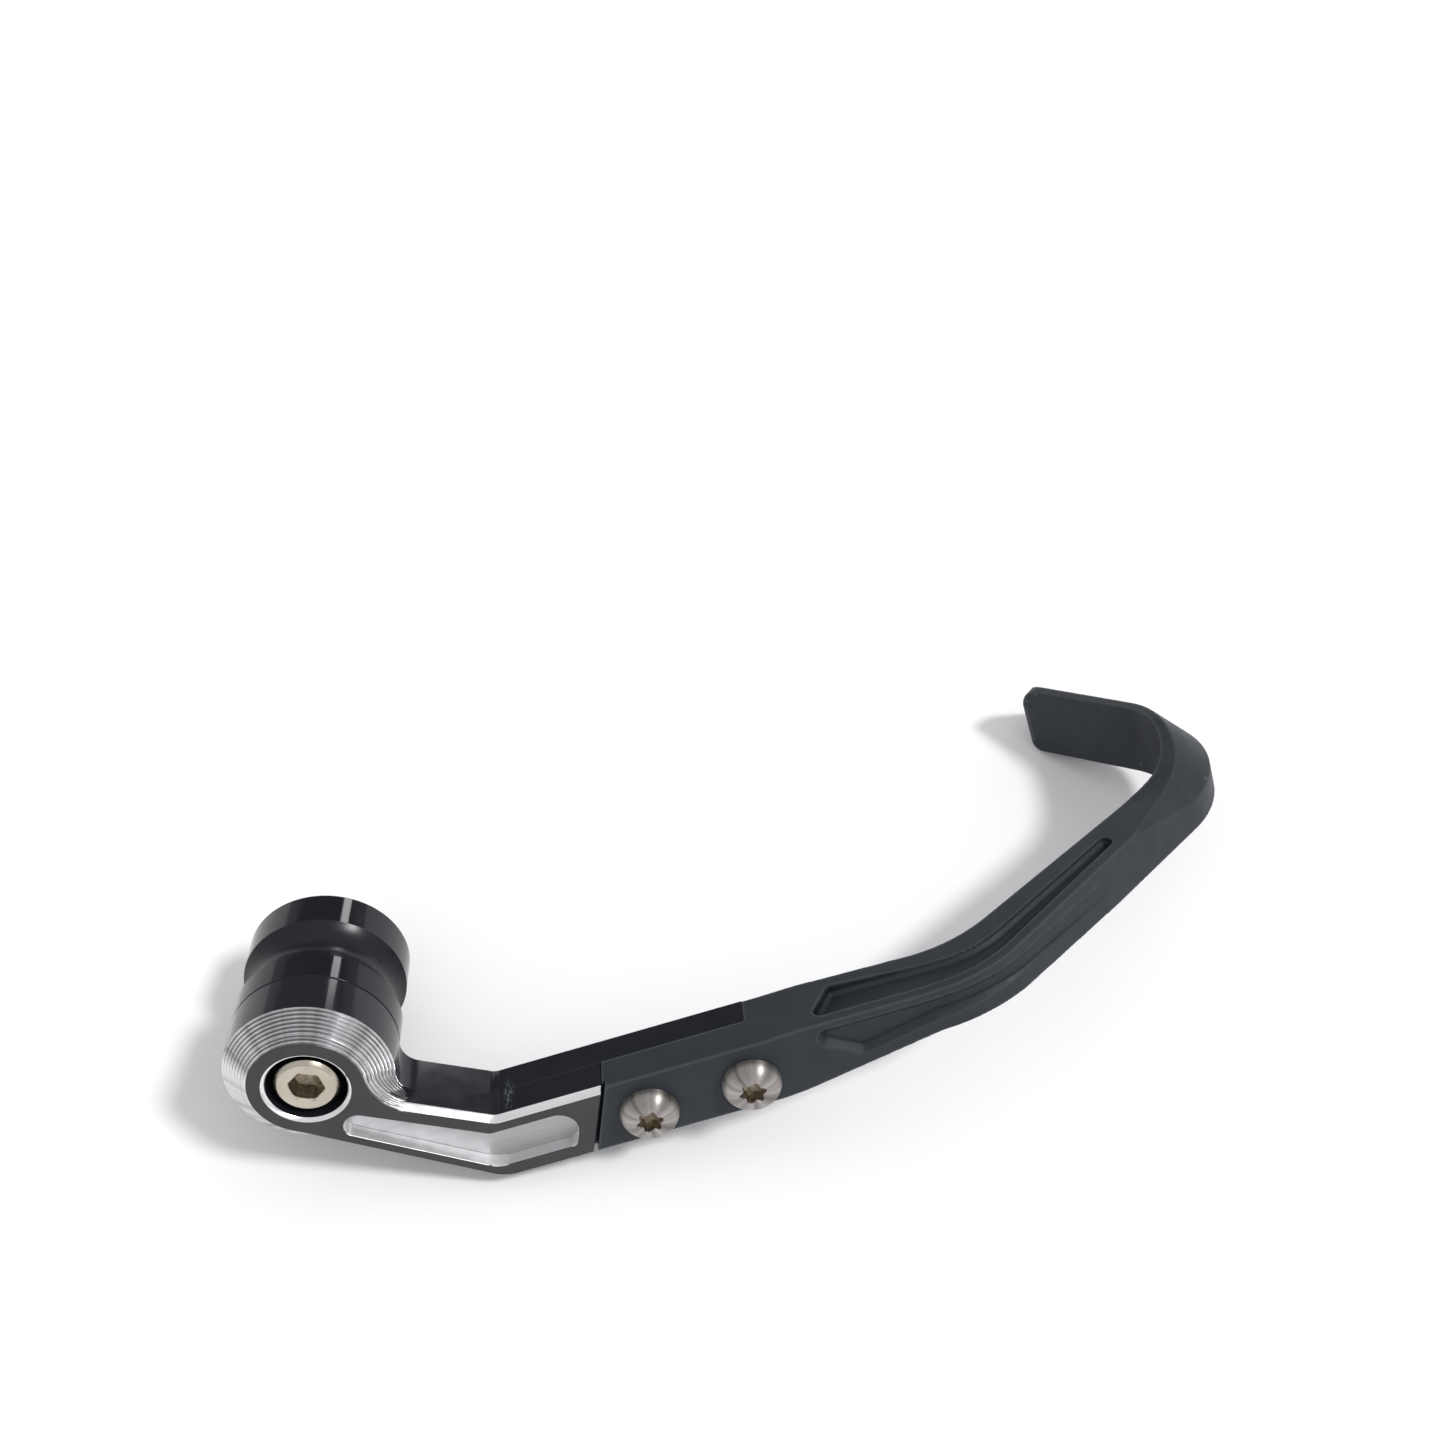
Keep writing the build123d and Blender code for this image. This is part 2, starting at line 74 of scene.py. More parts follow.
# Shares that several shapes use.
ROUNDING_SHARE = 0.48
LOBE_MEAN, LOBE_SWING = 0.86, 0.14
POINT_SHARE = 0.05


class Surface(Enum):
    """The ways in which the arm's faces are finished."""

    FACE = 0
    TREAD = 1
    RISER = 2
    FLOOR = 3
    EDGE = 4
    WALL = 5
    POCKET = 6


class Socket(Enum):
    """Driver recesses of the fasteners."""

    HEXAGON = "hexagon"
    SIX_LOBE = "six_lobe"


class Curve(Enum):
    """Ways to go from one end of a range to the other."""

    STRAIGHT = "LINEAR"
    SOFT = "SMOOTHSTEP"


# ---------------------------------------------------------------- finishes


class Graph:
    """A node tree with a few short ways to add to it."""

    def __init__(self, tree: bpy.types.NodeTree) -> None:
        """Empties the tree.

        Args:
            tree: Node tree of a material or of the world.
        """
        self.tree = tree
        self.tree.nodes.clear()

    def add(self, kind: str, **settings: object) -> bpy.types.Node:
        """Adds a node.

        Args:
            kind: Type name of the node.
            settings: Properties to set on it.

        Returns:
            The new node.
        """
        node = self.tree.nodes.new(kind)
        for key, value in settings.items():
            setattr(node, key, value)
        return node

    def link(self, source: Output, target: bpy.types.NodeSocket) -> None:
        """Joins an output to an input."""
        self.tree.links.new(source, target)

    def feed(self, target: bpy.types.NodeSocket, value: object) -> None:
        """Gives an input its value.

        Args:
            target: The input.
            value: A number, a row of numbers or an output.
        """
        if isinstance(value, bpy.types.NodeSocket):
            self.link(value, target)
        else:
            target.default_value = value

    def calc(self, operation: str, first: object, second: object) -> Output:
        """Adds a sum, product or other operation.

        Args:
            operation: Name of it.
            first: A number or an output.
            second: A number or an output.

        Returns:
            The result.
        """
        node = self.add("ShaderNodeMath", operation=operation)
        for target, value in zip(node.inputs, (first, second)):
            self.feed(target, value)
        return node.outputs["Value"]

    def vector(self, operation: str, first: object, second: object = ORIGIN) -> bpy.types.Node:
        """Adds an operation on vectors.

        Args:
            operation: Name of it.
            first: Three numbers or an output.
            second: Three numbers or an output.

        Returns:
            The node.
        """
        node = self.add("ShaderNodeVectorMath", operation=operation)
        for target, value in zip(node.inputs, (first, second)):
            self.feed(target, value)
        return node

    def mix(self, share: Output, low: Colour | Output, high: Colour | Output) -> Output:
        """Mixes two colours.

        Args:
            share: Share of the second colour.
            low: Colour at 0.
            high: Colour at 1.

        Returns:
            The mixed colour.
        """
        node = self.add("ShaderNodeMix", data_type="RGBA")
        self.link(share, node.inputs[MIX_SHARE])
        for slot, colour in ((MIX_LOW, low), (MIX_HIGH, high)):
            self.feed(node.inputs[slot], (*colour, 1.0) if isinstance(colour, tuple) else colour)
        return node.outputs[MIX_RESULT]

    def spread(
        self,
        value: Output,
        over: Range = NOISE_RANGE,
        onto: Range = UNIT,
        curve: Curve = Curve.STRAIGHT,
    ) -> Output:
        """Maps a value from one range to another.

        Args:
            value: The value to map.
            over: Start and end of the range of the value.
            onto: Results at the start and at the end.
            curve: How the result goes from one to the other.

        Returns:
            The mapped value.
        """
        node = self.add("ShaderNodeMapRange", interpolation_type=curve.value)
        names = ("From Min", "From Max", "To Min", "To Max", "Value")
        for name, number in zip(names, (*over, *onto, value)):
            self.feed(node.inputs[name], number)
        return node.outputs["Result"]

    def lean(self, way: Output, axis: Vector, over: Range) -> Output:
        """Tells how far a direction leans along an axis.

        Args:
            way: The direction, of length 1.
            axis: The axis.
            over: Leans at which the result begins and ends.

        Returns:
            A soft step from 0 to 1.
        """
        cosine = self.vector("DOT_PRODUCT", way, tuple(axis)).outputs["Value"]
        return self.spread(cosine, over, curve=Curve.SOFT)


class NodeSheet(Graph):
    """A material with one shader, worked from the place on the object."""

    def __init__(self, name: str) -> None:
        """Starts a material with one shader.

        Args:
            name: Name of the material.
        """
        self.material = bpy.data.materials.new(name)
        self.material.use_nodes = True
        super().__init__(self.material.node_tree)
        self.output = self.add("ShaderNodeOutputMaterial")
        self.shader = self.add("ShaderNodeBsdfPrincipled")
        self.link(self.shader.outputs["BSDF"], self.output.inputs["Surface"])
        self.place = self.add("ShaderNodeTexCoord").outputs["Object"]

    def set(self, **values: object) -> None:
        """Feeds the shader, with underscores for spaces in the names of its inputs."""
        for key, value in values.items():
            self.feed(self.shader.inputs[key.replace("_", " ")], value)

    def noise(
        self,
        scale: float,
        stretch: Triple = EVEN,
        detail: float = 3.0,
        roughness: float = 0.5,
        place: Output | None = None,
    ) -> Output:
        """Adds noise fixed to the object.

        Args:
            scale: Cells to the metre.
            stretch: Factor on each axis of the object.
            detail: Octaves.
            roughness: Weight of the finer octaves.
            place: Vector to read it at, instead of the place on the object.

        Returns:
            The noise's value, about 0.5 on average.
        """
        mapping = self.add("ShaderNodeMapping")
        mapping.inputs["Scale"].default_value = stretch
        self.link(place or self.place, mapping.inputs["Vector"])
        texture = self.add("ShaderNodeTexNoise")
        texture.inputs["Scale"].default_value = scale
        texture.inputs["Detail"].default_value = detail
        texture.inputs["Roughness"].default_value = roughness
        self.link(mapping.outputs["Vector"], texture.inputs["Vector"])
        return texture.outputs["Fac"]

    def dull(self, scale: float, limits: Range) -> None:
        """Lets the roughness wander between two limits.

        Args:
            scale: Cells of the wandering to the metre.
            limits: Least and most roughness.
        """
        self.set(Roughness=self.spread(self.noise(scale), onto=limits))

    def around(self, centre: Triple, pitch: float = 0.0) -> Output:
        """Gives the place relative to a turning axis along Y.

        Args:
            centre: A point of the axis, in metres.
            pitch: Distance in X at which equal axes follow, or 0 for a single one.

        Returns:
            The place counted from the axis.
        """
        local = self.vector("SUBTRACT", self.place, centre).outputs["Vector"]
        if not pitch:
            return local
        split = self.add("ShaderNodeSeparateXYZ")
        self.link(local, split.inputs["Vector"])
        ahead = self.calc("ADD", split.outputs["X"], pitch / 2)
        shifted = self.calc("FLOORED_MODULO", ahead, pitch)
        join = self.add("ShaderNodeCombineXYZ")
        self.link(self.calc("SUBTRACT", shifted, pitch / 2), join.inputs["X"])
        self.link(split.outputs["Y"], join.inputs["Y"])
        self.link(split.outputs["Z"], join.inputs["Z"])
        return join.outputs["Vector"]

    def ring(self, local: Output) -> Output:
        """Gives the direction that runs round an axis along Y.

        Args:
            local: Place counted from the axis.

        Returns:
            The direction, of length 1.
        """
        round_axis = self.vector("CROSS_PRODUCT", local, ALONG_Y).outputs["Vector"]
        return self.vector("NORMALIZE", round_axis).outputs["Vector"]

    def bump(self, height: Output, depth: float) -> None:
        """Raises the surface by a height.

        Args:
            height: Height from 0 to 1.
            depth: Depth in metres.
        """
        node = self.add("ShaderNodeBump")
        node.inputs["Distance"].default_value = depth
        self.link(height, node.inputs["Height"])
        self.set(Normal=node.outputs["Normal"])


@dataclass(frozen=True)
class MouldedFinish:
    """Matte slate moulding with a fine eroded grain, painted shade in its creases and hollows and
    painted highlights on its ridges.
    """

    name: str = "moulded_slate"
    dark: Colour = (0.020, 0.024, 0.030)
    light: Colour = (0.026, 0.030, 0.036)
    # Near-black painted shade for creases and hollows.
    painted_shade: Colour = (0.006, 0.008, 0.012)
    # Paler painted highlight for convex ridges.
    painted_ridge_highlight: Colour = (0.052, 0.057, 0.064)
    cloud_scale: float = 110.0
    crease_shade_range: Range = (0.455, 0.494)
    ridge_highlight_range: Range = (0.506, 0.56)
    shade_reach: float = 0.005
    hollow_shade_range: Range = (0.45, 0.84)
    specular: Range = (0.06, 0.2)
    dull_scale: float = 240.0
    roughness: Range = (0.44, 0.54)
    grain_scale: float = 2600.0
    grain_depth: float = 6e-6

    def make(self) -> bpy.types.Material:
        """Builds the finish.

        Returns:
            The material.
        """
        sheet = NodeSheet(self.name)
        cloud = sheet.noise(self.cloud_scale, detail=5.0, roughness=0.6)
        colour = sheet.mix(sheet.spread(cloud), self.dark, self.light)
        # Pointiness lightens convex ridges toward the highlight colour: a painted highlight.
        bend = sheet.add("ShaderNodeNewGeometry").outputs["Pointiness"]
        ridge_highlighted = sheet.mix(sheet.spread(bend, self.ridge_highlight_range), colour, self.painted_ridge_highlight)
        # Ambient occlusion and concave pointiness darken creases and hollows toward the shade
        # colour and turn down their specular there: painted shade.
        hollow = sheet.add("ShaderNodeAmbientOcclusion", samples=8, only_local=True)
        hollow.inputs["Distance"].default_value = self.shade_reach
        unshaded_share = sheet.calc(
            "MULTIPLY",
            sheet.spread(hollow.outputs["AO"], self.hollow_shade_range),
            sheet.spread(bend, self.crease_shade_range),
        )
        sheet.set(
            Base_Color=sheet.mix(unshaded_share, self.painted_shade, ridge_highlighted),
            Specular_IOR_Level=sheet.spread(unshaded_share, UNIT, self.specular),
        )
        sheet.dull(self.dull_scale, self.roughness)
        sheet.bump(sheet.noise(self.grain_scale, detail=2.0), self.grain_depth)
        return sheet.material


@dataclass(frozen=True)
class AnodisedFinish:
    """Black anodised aluminium, satin or glossy, with a few scuffs where it is worn."""

    name: str
    dark: Colour
    light: Colour
    roughness: Range
    specular: float
    cloud_scale: float = 90.0
    dull_scale: float = 350.0
    worn_place: Triple | None = None
    worn_size: Triple = EVEN
    worn_core: float = 0.3
    speck_colour: Colour = (0.13, 0.145, 0.14)
    speck_scale: float = 2600.0
    speck_stretch: Triple = (1.0, 0.35, 1.0)
    speck_range: Range = (0.48, 0.66)

    def make(self) -> bpy.types.Material:
        """Builds the finish.

        Returns:
            The material.
        """
        sheet = NodeSheet(self.name)
        cloud = sheet.noise(self.cloud_scale, detail=4.0)
        colour = sheet.mix(sheet.spread(cloud), self.dark, self.light)
        if self.worn_place:
            colour = self.scuffed(sheet, colour)
        sheet.set(Base_Color=colour, Specular_IOR_Level=self.specular)
        sheet.dull(self.dull_scale, self.roughness)
        return sheet.material

    def scuffed(self, sheet: NodeSheet, colour: Output) -> Output:
        """Adds light specks round the worn place.

        Args:
            sheet: The material.
            colour: Colour of the sound surface.

        Returns:
            The colour with the specks.
        """
        local = sheet.vector("SUBTRACT", sheet.place, self.worn_place).outputs["Vector"]
        scaled = sheet.vector("DIVIDE", local, self.worn_size).outputs["Vector"]
        far = sheet.vector("LENGTH", scaled).outputs["Value"]
        near = sheet.spread(far, (self.worn_core, 1.0), (1.0, 0.0))
        specks = sheet.spread(sheet.noise(self.speck_scale, self.speck_stretch), self.speck_range)
        return sheet.mix(sheet.calc("MULTIPLY", near, specks), colour, self.speck_colour)


@dataclass(frozen=True)
class MetalFinish:
    """Bare or plated metal, with the grooves of turning where it was turned, and there painted
    reflection streaks that swing its colour round the axis.
    """

    name: str
    dark: Colour
    light: Colour
    roughness: Range
    axis: Triple = ORIGIN
    pitch: float = 0.0
    drawn: float = 0.0
    cloud_scale: float = 160.0
    cloud_stretch: Triple = EVEN
    dull_scale: float = 420.0

    def make(self) -> bpy.types.Material:
        """Builds the finish.

        Returns:
            The material.
        """
        sheet = NodeSheet(self.name)
        sheet.set(Metallic=1.0)
        place = None
        if self.drawn:
            place = sheet.ring(sheet.around(self.axis, self.pitch))
            sheet.set(Tangent=place, Anisotropic=self.drawn, Anisotropic_Rotation=QUARTER_TURN)
        # Where turned, this colour noise is read from the direction round the axis, so the colour
        # swings lighter and darker in sectors round it: painted reflection streaks. Elsewhere it
        # is an uneven tone.
        cloud = sheet.noise(self.cloud_scale, self.cloud_stretch, place=place)
        sheet.set(Base_Color=sheet.mix(sheet.spread(cloud), self.dark, self.light))
        sheet.dull(self.dull_scale, self.roughness)
        return sheet.material


MOULDED = MouldedFinish()
SATIN_BLACK = AnodisedFinish(
    name="satin_black",
    dark=(0.022, 0.023, 0.025),
    light=(0.030, 0.031, 0.034),
    roughness=(0.36, 0.44),
    specular=0.4,
)
GLOSS_BLACK = AnodisedFinish(
    name="gloss_black",
    dark=(0.006, 0.007, 0.010),
    light=(0.009, 0.010, 0.014),
    roughness=(0.06, 0.09),
    specular=0.24,
)
HOLLOW_BLACK = AnodisedFinish(
    name="hollow_black",
    dark=(0.006, 0.007, 0.010),
    light=(0.010, 0.011, 0.015),
    roughness=(0.25, 0.29),
    specular=0.26,
)
WALL_BLACK = AnodisedFinish(
    name="wall_black",
    dark=(0.009, 0.010, 0.014),
    light=(0.013, 0.014, 0.019),
    roughness=(0.09, 0.12),
    specular=0.30,
    worn_place=(0.0342, -0.0376, -0.0208),
    worn_size=(0.0014, 0.0055, 0.0020),
)
# Treads and risers take their colour round the hub's axis, lighter and darker in sectors: painted
# reflection streaks.
TREAD_CUT = MetalFinish(
    name="tread_cut",
    dark=(0.36, 0.35, 0.36),
    light=(0.86, 0.85, 0.86),
    roughness=(0.30, 0.36),
    drawn=0.8,
    cloud_scale=3.2,
)
# Risers are much darker than treads: painted shade of the steps between the cone's terraces, with
# the same painted reflection streaks.
RISER_PAINTED_SHADE = MetalFinish(
    name="riser_painted_shade",
    dark=(0.12, 0.115, 0.12),
    light=(0.30, 0.30, 0.31),
    roughness=(0.30, 0.36),
    drawn=0.8,
    cloud_scale=3.2,
)
MILLED_FLOOR = MetalFinish(
    name="milled_floor",
    dark=(0.39, 0.39, 0.40),
    light=(0.46, 0.46, 0.47),
    roughness=(0.42, 0.48),
    cloud_scale=500.0,
    cloud_stretch=(0.06, 1.0, 1.0),
)
MILLED_POCKET = MetalFinish(
    name="milled_pocket",
    dark=(0.76, 0.76, 0.77),
    light=(0.88, 0.88, 0.88),
    roughness=(0.50, 0.56),
    cloud_scale=700.0,
    cloud_stretch=(0.08, 1.0, 1.0),
)
MILLED_EDGE = MetalFinish(
    name="milled_edge",
    dark=(0.74, 0.74, 0.75),
    light=(0.88, 0.88, 0.88),
    roughness=(0.20, 0.28),
    cloud_scale=700.0,
    cloud_stretch=(0.08, 1.0, 1.0),
)
NICKEL = MetalFinish(
    name="champagne_nickel",
    dark=(0.46, 0.42, 0.35),
    light=(0.54, 0.50, 0.42),
    roughness=(0.22, 0.28),
)
# The screws' colour swings lighter and darker round each screw's axis: painted reflection
# streaks.
STAINLESS = MetalFinish(
    name="bright_stainless",
    dark=(0.15, 0.135, 0.125),
    light=(0.50, 0.47, 0.455),
    roughness=(0.36, 0.42),
    axis=(0.0613, 0.0, -0.02985),
    pitch=0.0216,
    drawn=0.85,
    cloud_scale=2.1,
)
RECESS = MetalFinish(
    name="dull_recess",
    dark=(0.25, 0.22, 0.165),
    light=(0.48, 0.43, 0.35),
    roughness=(0.30, 0.40),
    cloud_scale=900.0,
)


# ---------------------------------------------------------------- shapes


def shown(name: str, data: bpy.types.ID) -> bpy.types.Object:
    """Puts data into the scene.

    Args:
        name: Name of the object.
        data: Its mesh, lamp or camera.

    Returns:
        The object.
    """
    item = bpy.data.objects.new(name, data)
    bpy.context.scene.collection.objects.link(item)
    return item


def eased(corners: Sequence[Triple], steps: int = 4) -> Profile:
    """Rounds the corners of a profile.

    Args:
        corners: Radius, place along the axis and rounding of each corner.
        steps: Pieces of each rounding.

    Returns:
        The points of the rounded profile.
    """
    points: Profile = []
    for index, (radius, along, easing) in enumerate(corners):
        here = Vector((radius, along))
        if easing <= 0 or index in (0, len(corners) - 1):
            points.append((radius, along))
            continue
        before = Vector(corners[index - 1][:2]) - here
        after = Vector(corners[index + 1][:2]) - here
        most = min(before.length, after.length) * ROUNDING_SHARE
        reach = min(easing / math.tan(before.angle(after) / 2), most)
        start = here + before.normalized() * reach
        end = here + after.normalized() * reach
        for step in range(steps + 1):
            t = step / steps
            point = start * (1 - t) ** 2 + here * 2 * t * (1 - t) + end * t**2
            points.append((point.x, point.y))
    return points


class RingStack:
    """A closed skin about the Y direction, made of rings with one number of points."""

    def __init__(self, sides: int, centre: tuple[float, float] = (0.0, 0.0)) -> None:
        """Starts an empty stack.

        Args:
            sides: Points of each ring.
            centre: X and Z of the axis, in millimetres.
        """
        self.sides = sides
        self.centre = centre
        self.rings: list[list[Vector]] = []

    def add(self, shape: float | Callable[[float], float], along: float) -> None:
        """Adds a ring.

        Args:
            shape: Radius in millimetres, or the radius for each angle.
            along: Y of the ring in millimetres, counted from the arm's front face.
        """
        ring = []
        for index in range(self.sides):
            angle = 2 * math.pi * index / self.sides
            radius = shape(angle) if callable(shape) else shape
            x = self.centre[0] + radius * math.cos(angle)
            z = self.centre[1] + radius * math.sin(angle)
            ring.append(Vector((x, along + PLATE_FRONT, z)) * MM)
        self.rings.append(ring)

    def turn(self, profile: Profile) -> None:
        """Adds a round ring for each point of a profile."""
        for radius, along in profile:
            self.add(radius, along)

    def skin(
        self, mesh: bmesh.types.BMesh, capped: bool = True, marked: range = range(0)
    ) -> None:
        """Puts the skin into a mesh.

        Args:
            mesh: The mesh to add to.
            capped: Whether both ends are closed; otherwise the last ring joins the first.
            marked: Rows of faces that take the second finish.
        """
        rows = [[mesh.verts.new(point) for point in ring] for ring in self.rings]
        pairs = list(zip(rows, rows[1:]))
        if not capped:
            pairs.append((rows[-1], rows[0]))
        for row, (first, second) in enumerate(pairs):
            for index in range(self.sides):
                after = (index + 1) % self.sides
                corners = (first[index], first[after], second[after], second[index])
                mesh.faces.new(corners).material_index = int(row in marked)
        if capped:
            mesh.faces.new(rows[0]).material_index = int(0 in marked)
            mesh.faces.new(rows[-1])


def recess(kind: Socket, size: float, share: float = 1.0) -> Callable[[float], float]:
    """Gives the outline of a driver recess.

    Args:
        kind: Which recess.
        size: Width across the flats of a hexagon, or across the lobes of a six-lobe recess.
        share: Factor on the outline.

    Returns:
        The radius for each angle.
    """
    reach = size / 2 * share
    if kind is Socket.HEXAGON:
        sixth = math.pi / 3
        return lambda angle: reach / math.cos((angle - sixth / 2) % sixth - sixth / 2)
    return lambda angle: reach * (LOBE_MEAN + LOBE_SWING * math.cos(6 * angle))


@dataclass
class Part:
    """A piece of the guard that stands for one node of the solids."""

    node: str
    piece_name: str
    sharp: float = 32.0
    weighted: bool = True

    def mesh(self) -> bmesh.types.BMesh:
        """Returns the piece's mesh in metres, as each part makes it."""
        raise NotImplementedError

    def dress(self) -> list[bpy.types.Material]:
        """Returns the finishes in the order of the faces' indices, as each part has them."""
        raise NotImplementedError

    def build(self) -> bpy.types.Object:
        """Makes the piece and puts it in place of its node.

        Returns:
            The piece.
        """
        mesh = self.mesh()
        bmesh.ops.recalc_face_normals(mesh, faces=mesh.faces)
        data = bpy.data.meshes.new(self.piece_name)
        mesh.to_mesh(data)
        mesh.free()
        for finish in self.dress():
            data.materials.append(finish)
        data.polygons.foreach_set("use_smooth", [True] * len(data.polygons))
        data.set_sharp_from_angle(angle=math.radians(self.sharp))
        piece = shown(self.piece_name, data)
        if self.weighted:
            self.flatten(piece)
        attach(piece, BODY)
        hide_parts(self.node)
        return piece

    def flatten(self, piece: bpy.types.Object) -> None:
        """Gives large faces more say in the shading of their corners than small ones.

        Args:
            piece: The piece to shade.
        """
        weigh = piece.modifiers.new("flatten", "WEIGHTED_NORMAL")
        weigh.mode = "FACE_AREA"
        weigh.weight = 100
        weigh.keep_sharp = True
        depsgraph = bpy.context.evaluated_depsgraph_get()
        plain = piece.data
        piece.data = bpy.data.meshes.new_from_object(
            piece.evaluated_get(depsgraph), depsgraph=depsgraph
        )
        piece.modifiers.clear()
        bpy.data.meshes.remove(plain)
        piece.data.name = self.piece_name


@dataclass
class HubArm(Part):
    """Machined hub with its terraced cone, and the cranked arm with a pocket."""

    node: str = "hub_arm"
    piece_name: str = "hub_arm_machined"
    weighted: bool = False
    weld: float = 0.002
    flat_angle: float = 0.6
    front_depth: float = 0.02
    cone_depth: float = 4.8
    pocket_depth: float = 3.0
    milled_depths: tuple[float, ...] = (0.7, 1.25, 3.0)
    depth_slack: float = 0.03
    slope: float = 32.5
    large_face: float = 20.0
    small_face: float = 1.0
    hub_axis: tuple[float, float] = (0.0, 0.0)
    corner_axis: tuple[float, float] = (20.44, -8.14)
    corner_reach: float = 5.25
    round_slack: float = 0.03
    merging_slack: float = 0.3
    edge: float = 0.1
    edge_angle: float = 40.0

    def mesh(self) -> bmesh.types.BMesh:
        """Takes the node's own mesh and breaks its edges slightly.

        Returns:
            The mesh, with whole flat faces that know their kind of surface.
        """
        mesh = bmesh.new()
        mesh.from_mesh(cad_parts[self.node].data)
        bmesh.ops.remove_doubles(mesh, verts=mesh.verts, dist=self.weld * MM)
        bmesh.ops.dissolve_limit(
            mesh,
            angle_limit=math.radians(self.flat_angle),
            verts=mesh.verts,
            edges=mesh.edges,
            delimit={"NORMAL"},
        )
        mesh.normal_update()
        for face in mesh.faces:
            face.material_index = self.surface(face).value
        self.break_edges(mesh)
        return mesh

    def break_edges(self, mesh: bmesh.types.BMesh) -> None:
        """Takes the sharpness off the edges.

        Args:
            mesh: The arm's mesh.
        """
        limit = math.radians(self.edge_angle)
        bmesh.ops.bevel(
            mesh,
            geom=[e for e in mesh.edges if e.is_manifold and e.calc_face_angle(0.0) > limit],
            offset=self.edge * MM,
            offset_type="OFFSET",
            segments=1,
            profile=0.5,
            affect="EDGES",
            clamp_overlap=False,
            miter_outer="ARC",
            miter_inner="ARC",
            material=-1,
        )

    def surface(self, face: bmesh.types.BMFace) -> Surface:
        """Tells how a face is finished from how deep it lies behind the front.

        Args:
            face: A face of the arm.

        Returns:
            Its finish.
        """
        deepest = max(vert.co.y for vert in face.verts) / MM - PLATE_FRONT
        tilt = abs(face.normal.y)
        if deepest < self.front_depth:
            return Surface.FACE
        if any(abs(deepest - depth) < self.depth_slack for depth in self.milled_depths):
            if tilt > LEVEL:
                return Surface.FLOOR
            in_pocket = deepest > self.pocket_depth - self.depth_slack
            return Surface.POCKET if in_pocket else Surface.EDGE
        x, z = self.corner_axis
        centre = face.calc_center_median() / MM
        merging = tilt <= LEVEL and math.hypot(centre.x - x, centre.z - z) < self.corner_reach
        if deepest > self.cone_depth or merging:
            return Surface.WALL
        if tilt > LEVEL:
            return Surface.TREAD
        return Surface.EDGE if tilt > SLOPING else Surface.RISER

    def dress(self) -> list[bpy.types.Material]:
        """Makes the finishes.

        Returns:
            One for each kind of surface, in order.
        """
        finishes = {
            Surface.FACE: SATIN_BLACK,
            Surface.TREAD: TREAD_CUT,
            Surface.RISER: RISER_PAINTED_SHADE,
            Surface.FLOOR: MILLED_FLOOR,
            Surface.EDGE: MILLED_EDGE,
            Surface.WALL: WALL_BLACK,
            Surface.POCKET: MILLED_POCKET,
        }
        return [finishes[surface].make() for surface in Surface]

    def build(self) -> bpy.types.Object:
        """Makes the arm, with its flat walls shaded flat and its round ones round.

        Returns:
            The arm.
        """
        piece = super().build()
        data = piece.data
        normals = [corner.vector.copy() for corner in data.corner_normals]
        slope = math.radians(self.slope)
        walls = (
            Vector((math.sin(slope), 0, math.cos(slope))),
            Vector((0, 0, 1)),
            Vector((0, -1, 0)),
        )
        for polygon in data.polygons:
            way = polygon.normal
            if polygon.area > self.large_face * MM**2:
                flat = next((wall for wall in walls if way.dot(wall) > SAME_WAY), way)
                for corner in polygon.loop_indices:
                    normals[corner] = flat.copy()
            elif abs(way.y) <= UPRIGHT:
                for axis in (self.hub_axis, self.corner_axis):
                    self.shade_round(data, polygon, axis, normals)
        data.normals_split_custom_set(normals)
        return piece

    def shade_round(
        self,
        data: bpy.types.Mesh,
        polygon: bpy.types.MeshPolygon,
        axis: tuple[float, float],
        normals: list[Vector],
    ) -> None:
        """Shades a face round if all of it lies at one distance from an axis along Y.

        Args:
            data: The arm's mesh.
            polygon: The face.
            axis: X and Z of the axis, in millimetres.
            normals: Directions of all corners, which are changed in place.
        """
        small = polygon.area < self.small_face * MM**2
        merging = small and polygon.material_index == Surface.WALL.value
        centre = Vector((axis[0], 0, axis[1])) * MM
        spokes = [data.vertices[index].co - centre for index in polygon.vertices]
        radii = [math.hypot(spoke.x, spoke.z) / MM for spoke in spokes]
        if max(radii) - min(radii) > (self.merging_slack if merging else self.round_slack):
            return
        for corner, spoke in zip(polygon.loop_indices, spokes):
            outward = Vector((spoke.x, 0, spoke.z)).normalized()
            share = outward.dot(polygon.normal)
            if abs(share) > ROUND_WAY:
                normals[corner] = outward if share > 0 else -outward


@dataclass
class GuardBlade(Part):
    """Moulded blade with its channels and hooked paddle."""

    node: str = "guard_blade"
    piece_name: str = "guard_blade_moulded"
    sharp: float = 60.0
    weighted: bool = False
    depth: int = 9
    share: float = 0.78
    easing: int = 3
    easing_share: float = 0.5

    def mesh(self) -> bmesh.types.BMesh:
        """Lays an even skin over the node's solid and softens it.

        Returns:
            The skin, with the edges of a moulding.
        """
        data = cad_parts[self.node].data.copy()
        block = shown("blade_block", data)
        core = shown("blade_core", data)
        skin = block.modifiers.new("skin", "REMESH")
        skin.mode = "SHARP"
        skin.octree_depth = self.depth
        skin.scale = self.share
        skin.use_remove_disconnected = False
        wrap = block.modifiers.new("wrap", "SHRINKWRAP")
        wrap.target = core
        wrap.wrap_method = "NEAREST_SURFACEPOINT"
        ease = block.modifiers.new("ease", "SMOOTH")
        ease.factor = self.easing_share
        ease.iterations = self.easing
        mesh = bmesh.new()
        mesh.from_object(block, bpy.context.evaluated_depsgraph_get())
        for item in (block, core):
            bpy.data.objects.remove(item)
        bpy.data.meshes.remove(data)
        return mesh

    def dress(self) -> list[bpy.types.Material]:
        """Returns the moulding's one finish."""
        return [MOULDED.make()]


